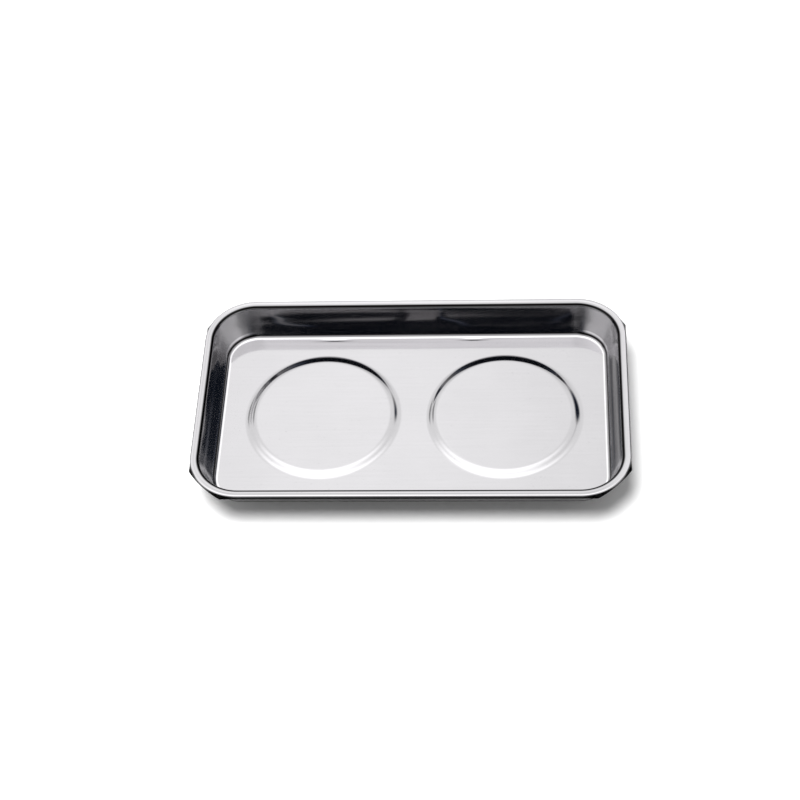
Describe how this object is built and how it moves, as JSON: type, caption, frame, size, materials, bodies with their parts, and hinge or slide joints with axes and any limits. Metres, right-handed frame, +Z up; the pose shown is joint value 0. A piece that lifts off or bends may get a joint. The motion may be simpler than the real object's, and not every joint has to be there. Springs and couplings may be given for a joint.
{
  "type": "magnetic parts tray",
  "caption": "Shallow rectangular stainless tray with a rolled rim and round raised pads over rubber-covered ring magnets, for holding screws and small steel parts",
  "frame": {"origin": "on the surface the tray stands on, under the middle of the tray", "axes": "+X along the tray's length, +Y across it, +Z up out of the open side"},
  "size_m": [0.2414, 0.1396, 0.0306],
  "materials": {
    "stainless": "polished stainless steel",
    "black_rubber": "matte moulded",
    "ferrite": "dull dark grey sintered",
    "zinc_steel": "bright zinc plated"
  },
  "bodies": {
    "root": {"tray_pan": "stainless", "left_weld_stud": "zinc_steel", "left_backing_plate": "zinc_steel", "left_ring_magnet": "ferrite", "left_rubber_boot": "black_rubber", "left_retaining_cup": "zinc_steel", "left_lock_washer": "zinc_steel", "left_hex_nut": "zinc_steel", "right_weld_stud": "zinc_steel", "right_backing_plate": "zinc_steel", "right_ring_magnet": "ferrite", "right_rubber_boot": "black_rubber", "right_retaining_cup": "zinc_steel", "right_lock_washer": "zinc_steel", "right_hex_nut": "zinc_steel"}
  },
  "joints": []
}
